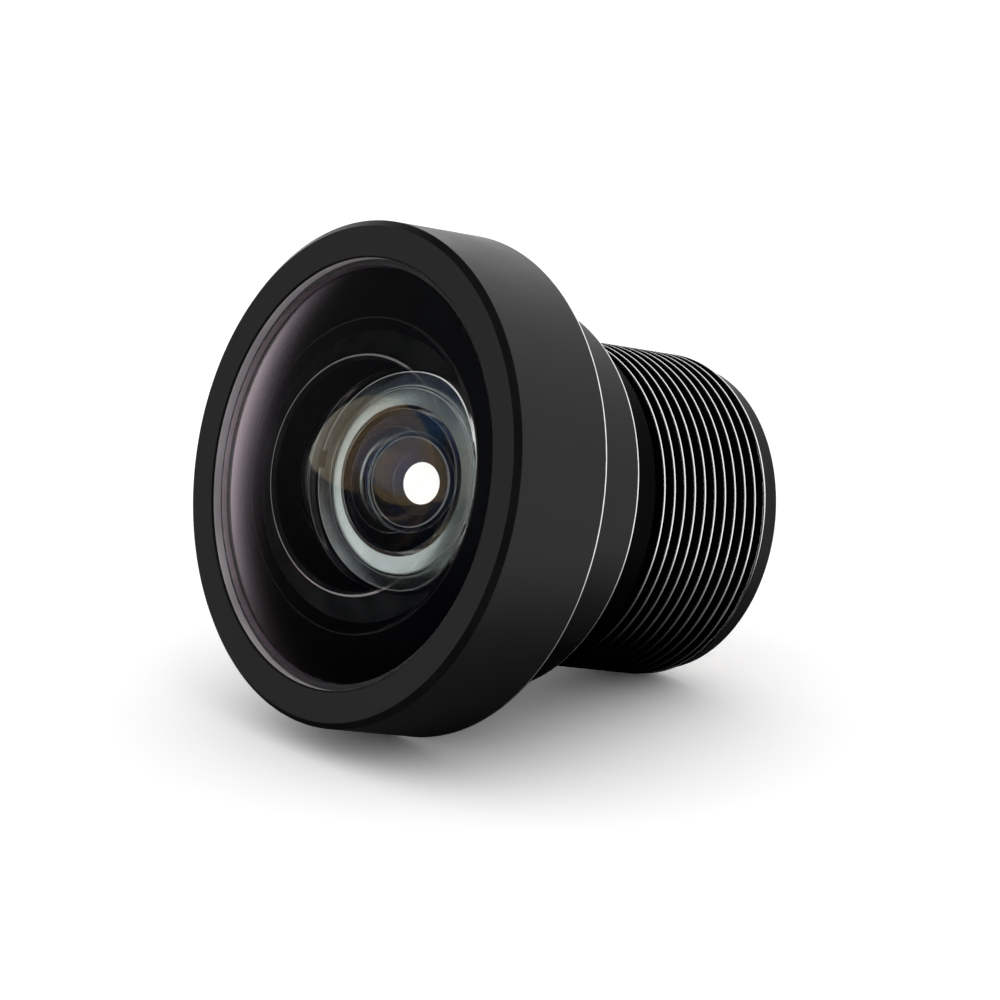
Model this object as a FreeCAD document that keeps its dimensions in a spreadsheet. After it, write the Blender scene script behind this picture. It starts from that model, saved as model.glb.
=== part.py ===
import FreeCAD, Part
import os
import Sketcher

# Board camera lens with an M12 x 0.5 mounting thread, lying on a flat surface.
# Every piece is round about the optical axis. Its own Z runs along that axis from the front face
# to the rear, in millimetres, with zero at the front face of the cap ring. Metal pieces are turned
# from half sections; lenses are ground from discs, each surface with a ball of its own curve.

os.makedirs("parts", exist_ok=True)
doc = FreeCAD.newDocument("board_camera_lens")

# Driving dimensions, in millimetres and degrees
DRIVING = [
    # mounting thread and the walls that build up outwards from it
    ("mount_thread_radius", 6.0),
    ("barrel_wall", 1.8),
    ("middle_step_width", 0.4),
    ("front_step_width", 0.8),
    ("ring_step_width", 0.5),
    ("seat_width", 0.86),
    ("groove_width", 0.9),
    ("seat_rim_width", 0.26),
    ("pocket_wall", 0.48),
    ("cap_wall", 0.65),
    ("shoulder_wall", 1.68),
    ("thread_clearance", 0.02),
    ("lens_clearance", 0.02),
    # cap ring
    ("lip_thickness", 0.4),
    ("lip_overlap_width", 0.2),
    ("face_chamfer_width", 0.22),
    ("lip_chamfer_width", 0.08),
    # barrel lengths
    ("pocket_front_gap", 0.12),
    ("groove_depth", 0.68),
    ("head_back_wall", 0.99),
    ("shoulder_length", 3.37),
    ("rear_lip_length", 0.86),
    ("rear_lip_width", 0.75),
    ("filter_recess_depth", 0.45),
    ("rear_rim_wall", 0.95),
    ("thread_end_length", 1.04),
    ("thread_end_depth", 0.28),
    ("rear_chamfer_width", 0.22),
    # seal squeezed under the front lens
    ("seal_side_gap", 0.03),
    ("seal_flat_width", 0.4),
    # ring that clamps the second lens
    ("ring_front_gap", 0.2),
    ("ring_lip_width", 0.95),
    ("ring_flare_width", 0.35),
    ("spanner_slot_width", 1.0),
    ("spanner_slot_depth", 0.4),
    # glare foils and aperture stop
    ("foil_thickness", 0.05),
    ("stop_thickness", 0.05),
    ("stop_radius", 1.25),
    # first lens: front surface, thickness on the axis, rear surface
    ("first_front_curve_radius", 15.0),
    ("first_centre_thickness", 1.2),
    ("first_rear_curve_radius", 5.56),
    ("first_rear_angle", 62.9),
    # second lens
    ("second_gap", 3.07),
    ("second_front_curve_radius", 8.33),
    ("second_front_land_width", 1.0),
    ("second_centre_thickness", 0.7),
    ("second_rear_curve_radius", 3.34),
    ("second_rear_angle", 65.9),
    # third lens
    ("third_gap", 2.24),
    ("third_front_curve_radius", 8.27),
    ("third_front_angle", 20.9),
    ("third_centre_thickness", 1.4),
    # cemented doublet
    ("fourth_gap", 2.37),
    ("fourth_front_curve_radius", 39.5),
    ("fourth_centre_thickness", 2.04),
    ("fourth_rear_curve_radius", 3.2),
    ("fourth_rear_angle", 54.3),
    ("fifth_centre_thickness", 0.5),
    ("fifth_rear_curve_radius", 5.32),
    ("fifth_rear_angle", 31.1),
    # sixth lens
    ("sixth_gap", 0.1),
    ("sixth_front_curve_radius", 21.0),
    ("sixth_centre_thickness", 1.2),
    ("sixth_rear_curve_radius", 15.1),
    ("sixth_land_width", 1.1),
    # seventh lens
    ("seventh_gap", 0.1),
    ("seventh_front_curve_radius", 9.17),
    ("seventh_front_land_width", 0.9),
    ("seventh_centre_thickness", 1.21),
    ("seventh_rear_curve_radius", 66.3),
    ("seventh_rear_land_width", 0.8),
    # spacer bores beyond the glass they face
    ("bore_clearance", 0.15),
    ("stop_spacer_wall", 1.3),
    ("throat_step_width", 0.65),
    # filter
    ("filter_thickness", 0.3),
    ("filter_clearance", 0.05),
]


def fill_sheet(name, rows, formula=False):
    sheet = doc.addObject("Spreadsheet::Sheet", name)
    for row, (alias, content) in enumerate(rows, start=1):
        sheet.set(f"A{row}", alias)
        sheet.set(f"B{row}", f"={content}" if formula else str(content))
        sheet.setAlias(f"B{row}", alias)
    doc.recompute()
    return sheet


sizes = fill_sheet("Sizes", DRIVING)


def size(alias):
    return f"Sizes.{alias}"


def sag(lens_side, reach):
    # depth of a lens surface at a distance from the axis
    curve = size(f"{lens_side}_curve_radius")
    return f"({curve} - sqrt({curve}^2 - {reach}^2))"


# Radii that follow from the walls
RADII = [
    ("rear_bore", f"{size('mount_thread_radius')} - {size('barrel_wall')}"),
    ("middle_bore", f"rear_bore + {size('middle_step_width')}"),
    ("front_bore", f"middle_bore + {size('front_step_width')}"),
    ("ring_bore", f"front_bore + {size('ring_step_width')}"),
    ("groove_inner", f"ring_bore + {size('seat_width')}"),
    ("groove_outer", f"groove_inner + {size('groove_width')}"),
    ("pocket", f"groove_outer + {size('seat_rim_width')}"),
    ("barrel_head", f"pocket + {size('pocket_wall')}"),
    ("cap_bore", f"barrel_head + {size('thread_clearance')}"),
    ("cap", f"cap_bore + {size('cap_wall')}"),
    ("shoulder", f"front_bore + {size('shoulder_wall')}"),
    ("thread_end_band", f"{size('mount_thread_radius')} - {size('thread_end_depth')}"),
    ("filter_recess", f"thread_end_band - {size('rear_chamfer_width')} - {size('rear_rim_wall')}"),
    ("rear_lip_bore", f"rear_bore - {size('rear_lip_width')}"),
    ("first_edge", f"pocket - {size('lens_clearance')}"),
    ("lip_bore", f"first_edge - {size('lip_overlap_width')}"),
    ("second_edge", f"front_bore - {size('lens_clearance')}"),
    ("third_edge", f"middle_bore - {size('lens_clearance')}"),
    ("rear_edge", f"rear_bore - {size('lens_clearance')}"),
    ("first_rear", f"{size('first_rear_curve_radius')} * sin({size('first_rear_angle')} * 1deg)"),
    ("second_front", f"second_edge - {size('second_front_land_width')}"),
    ("second_rear", f"{size('second_rear_curve_radius')} * sin({size('second_rear_angle')} * 1deg)"),
    ("third_front", f"{size('third_front_curve_radius')} * sin({size('third_front_angle')} * 1deg)"),
    ("fourth", f"{size('fourth_rear_curve_radius')} * sin({size('fourth_rear_angle')} * 1deg)"),
    ("fifth_rear", f"{size('fifth_rear_curve_radius')} * sin({size('fifth_rear_angle')} * 1deg)"),
    ("sixth", f"rear_edge - {size('sixth_land_width')}"),
    ("seventh_front", f"rear_edge - {size('seventh_front_land_width')}"),
    ("seventh_rear", f"rear_edge - {size('seventh_rear_land_width')}"),
]
radii = fill_sheet("Radii", RADII, formula=True)


def radius(alias):
    return f"Radii.{alias}"


# Stations along the axis: each lens sits where its neighbours and the air gaps put it
STATIONS = [
    ("first_land", size("lip_thickness")),
    ("first_front_pole", f"first_land - {sag('first_front', radius('lip_bore'))}"),
    ("first_rear_pole", f"first_front_pole + {size('first_centre_thickness')}"),
    ("seat", f"first_rear_pole + {sag('first_rear', radius('first_rear'))}"),
    ("groove_floor", f"seat + {size('groove_depth')}"),
    ("head_rear", f"groove_floor + {size('head_back_wall')}"),
    ("shoulder_rear", f"head_rear + {size('shoulder_length')}"),
    ("second_front_pole", f"first_rear_pole + {size('second_gap')}"),
    ("second_front_land", f"second_front_pole + {sag('second_front', radius('second_front'))}"),
    ("ring_front", f"seat + {size('ring_front_gap')}"),
    ("ring_rear", f"second_front_land - {size('foil_thickness')}"),
    ("second_rear_pole", f"second_front_pole + {size('second_centre_thickness')}"),
    ("second_rear_land", f"second_rear_pole + {sag('second_rear', radius('second_rear'))}"),
    ("third_front_pole", f"second_rear_pole + {size('third_gap')}"),
    ("third_front_land", f"third_front_pole + {sag('third_front', radius('third_front'))}"),
    ("third_rear", f"third_front_pole + {size('third_centre_thickness')}"),
    ("fourth_front_pole", f"third_rear + {size('fourth_gap')}"),
    ("fourth_front_rim", f"fourth_front_pole - {sag('fourth_front', radius('fourth'))}"),
    ("stop_front", f"fourth_front_rim - {size('stop_thickness')}"),
    ("fourth_rear_pole", f"fourth_front_pole + {size('fourth_centre_thickness')}"),
    ("fourth_rear_rim", f"fourth_rear_pole - {sag('fourth_rear', radius('fourth'))}"),
    ("fifth_rear_pole", f"fourth_rear_pole + {size('fifth_centre_thickness')}"),
    ("fifth_rear_land", f"fifth_rear_pole - {sag('fifth_rear', radius('fifth_rear'))}"),
    ("sixth_front_pole", f"fifth_rear_pole + {size('sixth_gap')}"),
    ("sixth_front_land", f"sixth_front_pole + {sag('sixth_front', radius('sixth'))}"),
    ("sixth_rear_pole", f"sixth_front_pole + {size('sixth_centre_thickness')}"),
    ("sixth_rear_land", f"sixth_rear_pole - {sag('sixth_rear', radius('sixth'))}"),
    ("seventh_front_pole", f"sixth_rear_pole + {size('seventh_gap')}"),
    ("seventh_front_land", f"seventh_front_pole + {sag('seventh_front', radius('seventh_front'))}"),
    ("seventh_rear_pole", f"seventh_front_pole + {size('seventh_centre_thickness')}"),
    ("seventh_rear_land", f"seventh_rear_pole + {sag('seventh_rear', radius('seventh_rear'))}"),
    ("lip_front", f"seventh_rear_land + {size('foil_thickness')}"),
    ("recess_floor", f"lip_front + {size('rear_lip_length')}"),
    ("barrel_rear", f"recess_floor + {size('filter_recess_depth')}"),
    ("thread_end", f"barrel_rear - {size('thread_end_length')}"),
]
stations = fill_sheet("Stations", STATIONS, formula=True)


def station(alias):
    return f"Stations.{alias}"


def number(expression):
    value = sizes.evalExpression(expression)
    return float(getattr(value, "Value", value))


# The lens lies on the rear edge of its head and the last full turn of its thread, so its axis dips
# towards the rear. The frame's origin is where the axis meets the shoulder that seats in a holder.
DIP = (
    f"atan(({radius('cap')} - {size('mount_thread_radius')})"
    f" / ({station('thread_end')} - {station('head_rear')}))"
)


def place(body):
    turned = FreeCAD.Rotation(FreeCAD.Vector(1, 0, 0), -90 - number(DIP))
    body.Placement = FreeCAD.Placement(FreeCAD.Vector(0, 0, 0), turned)
    body.setExpression(".Placement.Rotation.Angle", f"-90deg - {DIP}")
    body.setExpression(".Placement.Base.y", f"-{station('shoulder_rear')} * cos({DIP})")
    body.setExpression(".Placement.Base.z", f"{station('shoulder_rear')} * sin({DIP})")


def base_plane(body, role):
    return next(item for item in body.Origin.OriginFeatures if item.Role == role)


def pin_point(sketch, index, end, name, across, along):
    # hold one end of a line at its distances from the axis and from the front face
    # a point on the axis is held to the sketch's vertical axis instead
    for kind, letter, value in (("DistanceX", "r", across), ("DistanceY", "z", along)):
        if value == "0" and letter == "r":
            sketch.addConstraint(Sketcher.Constraint("PointOnObject", index, end, -2))
            continue
        item = sketch.addConstraint(Sketcher.Constraint(kind, -1, 1, index, end, number(value)))
        sketch.renameConstraint(item, f"{name}_{letter}")
        sketch.setExpression(f"Constraints.{name}_{letter}", value)


def draw_outline(sketch, corners):
    # straight lines round the half section, from corner to corner
    points = [FreeCAD.Vector(number(across), number(along), 0) for across, along in corners]
    count = len(corners)
    for index in range(count):
        sketch.addGeometry(Part.LineSegment(points[index], points[(index + 1) % count]), False)
    for index, (across, along) in enumerate(corners):
        sketch.addConstraint(Sketcher.Constraint("Coincident", index, 2, (index + 1) % count, 1))
        pin_point(sketch, index, 1, f"corner{index}", across, along)


def section_sketch(body, name, corners):
    # the half section is drawn on the upper side, so that the seams of turned faces lie on top
    sketch = body.newObject("Sketcher::SketchObject", name)
    sketch.AttachmentSupport = [(base_plane(body, "YZ_Plane"), "")]
    sketch.MapMode = "FlatFace"
    sketch.MapReversed = True
    draw_outline(sketch, corners)
    return sketch


def turned_body(name, corners):
    # a piece turned about the optical axis from its half section
    body = doc.addObject("PartDesign::Body", name)
    body.Label = name
    place(body)
    sketch = section_sketch(body, f"{name}_section", corners)
    turning = body.newObject("PartDesign::Revolution", f"{name}_turning")
    turning.Profile = (sketch, [""])
    turning.ReferenceAxis = (sketch, ["V_Axis"])
    turning.Angle = 360
    doc.recompute()
    return body


def ring_body(name, outer, inner, front, rear):
    # a plain turned ring between two stations
    return turned_body(name, [(inner, front), (outer, front), (outer, rear), (inner, rear)])


def chamfer_edge(body, name, amount, reach, along):
    # chamfer the circular edge found at the given radius and station
    found = []
    for index, edge in enumerate(body.Tip.Shape.Edges, start=1):
        if edge.Curve.TypeId != "Part::GeomCircle":
            continue
        off_radius = abs(edge.Curve.Radius - number(reach))
        off_station = abs(edge.Curve.Center.z - number(along))
        if max(off_radius, off_station) < 1e-4:
            found.append(f"Edge{index}")
    if len(found) != 1:
        raise RuntimeError(f"{body.Name} {name}: {len(found)} edges found")
    base = body.Tip
    chamfer = body.newObject("PartDesign::Chamfer", f"{body.Name}_{name}")
    chamfer.Base = (base, found)
    chamfer.setExpression("Size", amount)
    doc.recompute()


FRONT, REAR = -1, 1


def ball(name, curve, pole, side):
    # ball that meets the axis at the pole with its front or rear side, the side that shapes the glass.
    # Its own poles and its seam are turned away from there.
    shape = doc.addObject("Part::Sphere", name)
    shape.setExpression("Radius", curve)
    shape.Placement.Rotation = FreeCAD.Rotation(FreeCAD.Vector(0, 1, 0), 90 * side)
    shape.setExpression(".Placement.Base.z", f"{pole} {'+' if side == FRONT else '-'} {curve}")
    return shape


def disc(name, reach, front, rear):
    shape = doc.addObject("Part::Cylinder", name)
    shape.setExpression("Radius", reach)
    shape.setExpression("Height", f"({rear}) - ({front})")
    shape.setExpression(".Placement.Base.z", front)
    return shape


def joined(kind, name, base, tool):
    shape = doc.addObject(f"Part::{kind}", name)
    shape.Base = base
    shape.Tool = tool
    shape.Refine = True
    return shape


def ground_lens(name, edge, front, rear, bulges=(), hollows=()):
    # a disc between two flat lands, with a bulge or a hollow for each curved surface, given as the
    # side it is on, the name of its sizes and the station of its land
    lens = disc(f"{name}_disc", edge, front, rear)
    for side, surface, land in bulges:
        curve, pole = size(f"{surface}_curve_radius"), station(f"{surface}_pole")
        beyond = f"{pole} {'-' if side == FRONT else '+'} {curve}"
        low, high = (beyond, land) if side == FRONT else (land, beyond)
        shape = ball(f"{name}_{surface}_ball", curve, pole, side)
        slab = disc(f"{name}_{surface}_slab", curve, low, high)
        cap = joined("Common", f"{name}_{surface}_cap", shape, slab)
        lens = joined("Fuse", f"{name}_{surface}_bulge", lens, cap)
    for side, surface in hollows:
        curve, pole = size(f"{surface}_curve_radius"), station(f"{surface}_pole")
        tool = ball(f"{name}_{surface}_ball", curve, pole, -side)
        lens = joined("Cut", f"{name}_{surface}_hollow", lens, tool)
    lens.Label = name
    doc.recompute()
    place(lens)
    return lens


def make_cap_ring():
    front, rear = "0", station("head_rear")
    body = turned_body("front_cap_ring", [
        (radius("lip_bore"), front),
        (radius("cap"), front),
        (radius("cap"), rear),
        (radius("cap_bore"), rear),
        (radius("cap_bore"), station("first_land")),
        (radius("lip_bore"), station("first_land")),
    ])
    chamfer_edge(body, "face_chamfer", size("face_chamfer_width"), radius("cap"), front)
    chamfer_edge(body, "lip_chamfer", size("lip_chamfer_width"), radius("lip_bore"), front)
    return body


def make_barrel():
    pocket_front = f"{station('first_land')} + {size('pocket_front_gap')}"
    thread = size("mount_thread_radius")
    band = radius("thread_end_band")
    band_front = f"{station('thread_end')} + {size('thread_end_depth')}"
    rear = station("barrel_rear")
    body = turned_body("barrel", [
        (radius("pocket"), pocket_front),
        (radius("barrel_head"), pocket_front),
        (radius("barrel_head"), station("head_rear")),
        (radius("shoulder"), station("head_rear")),
        (radius("shoulder"), station("shoulder_rear")),
        (thread, station("shoulder_rear")),
        (thread, station("thread_end")),
        (band, band_front),
        (band, rear),
        (radius("filter_recess"), rear),
        (radius("filter_recess"), station("recess_floor")),
        (radius("rear_lip_bore"), station("recess_floor")),
        (radius("rear_lip_bore"), station("lip_front")),
        (radius("rear_bore"), station("lip_front")),
        (radius("rear_bore"), station("third_rear")),
        (radius("middle_bore"), station("third_rear")),
        (radius("middle_bore"), station("second_rear_land")),
        (radius("front_bore"), station("second_rear_land")),
        (radius("front_bore"), station("second_front_land")),
        (radius("ring_bore"), station("second_front_land")),
        (radius("ring_bore"), station("seat")),
        (radius("groove_inner"), station("seat")),
        (radius("groove_inner"), station("groove_floor")),
        (radius("groove_outer"), station("groove_floor")),
        (radius("groove_outer"), station("seat")),
        (radius("pocket"), station("seat")),
    ])
    chamfer_edge(body, "rear_chamfer", size("rear_chamfer_width"), band, rear)
    return body


def make_seal():
    # rubber ring squeezed between its groove and the front lens: two flats and bulging sides
    gap, flat = size("seal_side_gap"), size("seal_flat_width")
    inner, outer = f"{radius('groove_inner')} + {gap}", f"{radius('groove_outer')} - {gap}"
    front, rear = station("seat"), station("groove_floor")
    middle = f"({inner} + {outer}) / 2"
    return turned_body("seal_ring", [
        (f"{middle} - {flat} / 2", front),
        (f"{middle} + {flat} / 2", front),
        (outer, f"({front} + {rear}) / 2"),
        (f"{middle} + {flat} / 2", rear),
        (f"{middle} - {flat} / 2", rear),
        (inner, f"({front} + {rear}) / 2"),
    ])


def make_lenses():
    first_land, seat, rear_edge = station("first_land"), station("seat"), radius("rear_edge")
    second = (station("second_front_land"), station("second_rear_land"))
    third = (station("third_front_land"), station("third_rear"))
    cemented, fifth_land = station("fourth_rear_rim"), station("fifth_rear_land")
    sixth = (station("sixth_front_land"), station("sixth_rear_land"))
    seventh = (station("seventh_front_land"), station("seventh_rear_land"))
    return [
        ground_lens("first_lens", radius("first_edge"), first_land, seat,
                    bulges=[(FRONT, "first_front", first_land)], hollows=[(REAR, "first_rear")]),
        ground_lens("second_lens", radius("second_edge"), *second,
                    bulges=[(FRONT, "second_front", second[0])], hollows=[(REAR, "second_rear")]),
        ground_lens("third_lens", radius("third_edge"), *third,
                    bulges=[(FRONT, "third_front", third[0])]),
        # the hollow front of this one runs out to its edge, so its disc starts further forward
        ground_lens("fourth_lens", radius("fourth"), station("stop_front"), cemented,
                    bulges=[(REAR, "fourth_rear", cemented)], hollows=[(FRONT, "fourth_front")]),
        ground_lens("fifth_lens", rear_edge, cemented, fifth_land,
                    bulges=[(REAR, "fifth_rear", fifth_land)], hollows=[(FRONT, "fourth_rear")]),
        ground_lens("sixth_lens", rear_edge, *sixth,
                    bulges=[(FRONT, "sixth_front", sixth[0]), (REAR, "sixth_rear", sixth[1])]),
        ground_lens("seventh_lens", rear_edge, *seventh,
                    bulges=[(FRONT, "seventh_front", seventh[0])], hollows=[(REAR, "seventh_rear")]),
    ]


def make_inner_ring():
    outer = f"{radius('ring_bore')} - {size('thread_clearance')}"
    throat = f"{radius('second_edge')} - {size('ring_lip_width')}"
    mouth = f"{throat} + {size('ring_flare_width')}"
    front, rear = station("ring_front"), station("ring_rear")
    body = turned_body("inner_retaining_ring", [
        (mouth, front),
        (outer, front),
        (outer, rear),
        (throat, rear),
    ])
    whole = body.Shape.Volume
    # two spanner slots, cut right across the front face
    sketch = body.newObject("Sketcher::SketchObject", "inner_retaining_ring_slots")
    sketch.AttachmentSupport = [(base_plane(body, "XY_Plane"), "")]
    sketch.MapMode = "FlatFace"
    sketch.setExpression(".AttachmentOffset.Base.z", front)
    reach = f"1.1 * ({outer})"
    half_length, half_width = number(reach), number(size("spanner_slot_width")) / 2
    corners = [
        FreeCAD.Vector(side * half_length, level * half_width, 0)
        for side, level in ((-1, -1), (1, -1), (1, 1), (-1, 1))
    ]
    for index in range(4):
        sketch.addGeometry(Part.LineSegment(corners[index], corners[(index + 1) % 4]), False)
    for index in range(4):
        sketch.addConstraint(Sketcher.Constraint("Coincident", index, 2, (index + 1) % 4, 1))
        kind = "Horizontal" if index % 2 == 0 else "Vertical"
        sketch.addConstraint(Sketcher.Constraint(kind, index))
    sketch.addConstraint(Sketcher.Constraint("Symmetric", 0, 1, 2, 1, -1, 1))
    length = sketch.addConstraint(Sketcher.Constraint("DistanceX", 0, 1, 0, 2, 2 * half_length))
    width = sketch.addConstraint(Sketcher.Constraint("DistanceY", 1, 1, 1, 2, 2 * half_width))
    sketch.renameConstraint(length, "length")
    sketch.renameConstraint(width, "width")
    sketch.setExpression("Constraints.length", f"2 * {reach}")
    sketch.setExpression("Constraints.width", size("spanner_slot_width"))
    slots = body.newObject("PartDesign::Pocket", "inner_retaining_ring_spanner_slots")
    slots.Profile = sketch
    slots.Reversed = True
    slots.setExpression("Length", size("spanner_slot_depth"))
    doc.recompute()
    if body.Shape.Volume > whole - 0.1:
        raise RuntimeError("the spanner slots cut nothing")
    return body


def make_stop_spacer():
    # long spacer whose bore narrows to a throat at the stop
    outer = radius("rear_edge")
    bore = f"{outer} - {size('stop_spacer_wall')}"
    throat = f"{size('stop_radius')} + {size('throat_step_width')}"
    front, rear = station("third_rear"), station("stop_front")
    return turned_body("stop_spacer", [
        (bore, front),
        (outer, front),
        (outer, rear),
        (throat, rear),
        (bore, f"{rear} - ({bore} - ({throat}))"),
    ])


def make_rings():
    # spacers, foils and stop: plain rings between their neighbours' lands, clear of the curved glass
    rear_edge = radius("rear_edge")
    margin = size("bore_clearance")
    middle_foil_rear = f"{station('fifth_rear_land')} + {size('foil_thickness')}"
    return [
        ring_body("front_glare_foil", radius("second_edge"), f"{radius('second_front')} + {margin}",
                  station("ring_rear"), station("second_front_land")),
        ring_body("second_spacer", radius("third_edge"), f"{radius('second_rear')} + {margin}",
                  station("second_rear_land"), station("third_front_land")),
        ring_body("aperture_stop", rear_edge, size("stop_radius"),
                  station("stop_front"), station("fourth_front_rim")),
        ring_body("fourth_holder", rear_edge, f"{radius('fourth')} + {size('lens_clearance')}",
                  station("fourth_front_rim"), station("fourth_rear_rim")),
        ring_body("middle_glare_foil", rear_edge, f"{radius('fifth_rear')} + {margin}",
                  station("fifth_rear_land"), middle_foil_rear),
        ring_body("fifth_spacer", rear_edge, f"{radius('sixth')} + {margin}",
                  middle_foil_rear, station("sixth_front_land")),
        ring_body("sixth_spacer", rear_edge, f"{radius('seventh_front')} + {margin}",
                  station("sixth_rear_land"), station("seventh_front_land")),
        ring_body("rear_glare_foil", rear_edge, f"{radius('seventh_rear')} - {margin}",
                  station("seventh_rear_land"), station("lip_front")),
    ]


def make_filter():
    outer = f"{radius('filter_recess')} - {size('filter_clearance')}"
    front = station("recess_floor")
    rear = f"{front} + {size('filter_thickness')}"
    return turned_body("infrared_filter", [("0", front), (outer, front), (outer, rear), ("0", rear)])


pieces = [
    make_cap_ring(),
    make_barrel(),
    make_seal(),
    make_inner_ring(),
    make_stop_spacer(),
    *make_rings(),
    *make_lenses(),
    make_filter(),
]
doc.recompute()

for item in doc.Objects:
    if "Invalid" in item.State or "Error" in item.State:
        raise RuntimeError(f"{item.Name} failed: {item.State}")
for piece in pieces:
    if piece.Shape.isNull() or not piece.Shape.isValid() or len(piece.Shape.Solids) != 1:
        raise RuntimeError(f"{piece.Label} is not one valid solid")
for piece in pieces:
    piece.Shape.exportStep(f"parts/{piece.Label}.step")

print(f"pieces: {len(pieces)}")
print(f"axis dips {number(DIP):.3f} degrees; head {2 * number(radius('cap')):.3f} across")
for alias in ("first_front_pole", "seat", "head_rear", "shoulder_rear", "thread_end", "barrel_rear"):
    print(f"{alias} at {number(station(alias)):.4f}")
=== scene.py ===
import math

import bpy
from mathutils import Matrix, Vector


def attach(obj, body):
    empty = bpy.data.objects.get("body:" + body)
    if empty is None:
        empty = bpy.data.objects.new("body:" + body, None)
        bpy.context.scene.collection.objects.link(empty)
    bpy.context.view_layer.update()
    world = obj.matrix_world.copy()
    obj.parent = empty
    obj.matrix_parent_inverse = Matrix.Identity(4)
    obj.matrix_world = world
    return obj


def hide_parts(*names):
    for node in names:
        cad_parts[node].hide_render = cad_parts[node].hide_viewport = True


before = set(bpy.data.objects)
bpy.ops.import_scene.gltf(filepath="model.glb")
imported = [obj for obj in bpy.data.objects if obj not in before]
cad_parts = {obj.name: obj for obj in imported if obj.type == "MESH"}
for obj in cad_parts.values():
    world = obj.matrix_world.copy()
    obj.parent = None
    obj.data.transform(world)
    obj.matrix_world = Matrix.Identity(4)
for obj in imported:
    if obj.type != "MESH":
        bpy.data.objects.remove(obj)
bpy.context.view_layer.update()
print("frame loaded,", len(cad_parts), "nodes")

mm = 0.001  # pieces are modelled in millimetres and brought to metres when they are laid in place

# How the lens lies: its axis dips to the rear, from the edge of the head to the end of the thread
lying = {
    "capRadius": 9.07,
    "threadRadius": 6.0,
    "headRear": 4.17,
    "threadEnd": 14.8091,
    "shoulderRear": 7.54,  # the frame's origin is on the axis here
    "floorLevel": -7.780,
}
dip = math.atan(
    (lying["capRadius"] - lying["threadRadius"]) / (lying["threadEnd"] - lying["headRear"])
)

# How every piece is drawn, turned and shaded
drawing = {
    "seed": 0.01,  # side of the plane that shrinks to an outline's first vertex
    "roundSteps": 5,  # in a rounded corner
    "joined": 0.0004,  # vertices nearer than this become one
    "smoothAngle": 30,  # in degrees
    "hair": 0.01,  # how far a face's middle may be off the size that it is chosen by
}


# An outline runs in the half plane of x, the distance from the axis, and z, the distance behind the
# front face. It is drawn with one moving vertex and then turned about the axis.
def startOutline(name, point):
    bpy.ops.object.select_all(action="DESELECT")
    bpy.ops.mesh.primitive_plane_add(size=drawing["seed"], location=(point[0], 0, point[1]))
    piece = bpy.context.object
    piece.name = name
    piece.data.name = name
    bpy.ops.object.transform_apply(location=True)
    bpy.ops.object.mode_set(mode="EDIT")
    bpy.ops.mesh.merge(type="CENTER")
    return piece


def lineTo(here, there):
    step = (there[0] - here[0], 0, there[1] - here[1])
    bpy.ops.mesh.extrude_region_move(TRANSFORM_OT_translate={"value": step})
    return there


def arcTo(here, centre, there, steps):
    start = math.atan2(here[0] - centre[0], here[1] - centre[1])
    end = math.atan2(there[0] - centre[0], there[1] - centre[1])
    turn = (end - start + math.pi) % (2 * math.pi) - math.pi
    bpy.ops.mesh.spin(
        steps=steps, angle=-turn, center=(centre[0], 0, centre[1]), axis=(0, 1, 0),
        use_auto_merge=False,
    )
    return there


def closeOutline(piece):
    # joins the outline's two open ends
    bpy.ops.mesh.select_all(action="DESELECT")
    bpy.ops.object.mode_set(mode="OBJECT")
    for vertex in piece.data.vertices:
        vertex.select = sum(vertex.index in edge.vertices for edge in piece.data.edges) == 1
    bpy.ops.object.mode_set(mode="EDIT")
    bpy.ops.mesh.edge_face_add()


def turnOutline(steps):
    bpy.ops.mesh.select_all(action="SELECT")
    bpy.ops.mesh.spin(steps=steps, angle=2 * math.pi, center=(0, 0, 0), axis=(0, 0, 1))
    bpy.ops.mesh.select_all(action="SELECT")
    bpy.ops.mesh.remove_doubles(threshold=drawing["joined"])
    bpy.ops.mesh.normals_make_consistent(inside=False)
    bpy.ops.object.mode_set(mode="OBJECT")


def roundedCorner(before, corner, after, size):
    # where the rounding starts, its centre, and where it ends
    corner = Vector(corner)
    intoBack = (Vector(before) - corner).normalized()
    intoNext = (Vector(after) - corner).normalized()
    half = intoBack.angle(intoNext) / 2
    reach = size / math.tan(half)
    centre = corner + (intoBack + intoNext).normalized() * size / math.sin(half)
    return corner + intoBack * reach, centre, corner + intoNext * reach


def turnedPiece(name, corners, steps=192, holding=0.02):
    # a piece with a bore; corners are (across, along) or (across, along, rounding), and holding is the
    # narrow stretch on both sides of a rounding that keeps the shading of the long faces flat
    stretches = []
    for index, corner in enumerate(corners):
        if len(corner) == 2:
            stretches.append((corner, None))
            continue
        before = Vector(corners[index - 1][:2])
        after = Vector(corners[(index + 1) % len(corners)][:2])
        start, centre, end = roundedCorner(before, corner[:2], after, corner[2])
        stretches += [
            (start + (before - start).normalized() * holding, None),
            (start, None),
            (end, centre),
            (end + (after - end).normalized() * holding, None),
        ]
    here = stretches[0][0]
    piece = startOutline(name, here)
    for there, centre in stretches[1:]:
        here = lineTo(here, there) if centre is None else arcTo(here, centre, there, drawing["roundSteps"])
    closeOutline(piece)
    turnOutline(steps)
    return piece


def turnedSolid(name, start, stretches, steps=192):
    # a piece with no bore, drawn from pole to pole; a stretch is (point,) for a straight line or
    # (point, centre station, steps) for an arc
    here = start
    piece = startOutline(name, here)
    for there, *arc in stretches:
        here = arcTo(here, (0, arc[0]), there, arc[1]) if arc else lineTo(here, there)
    turnOutline(steps)
    return piece


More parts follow.
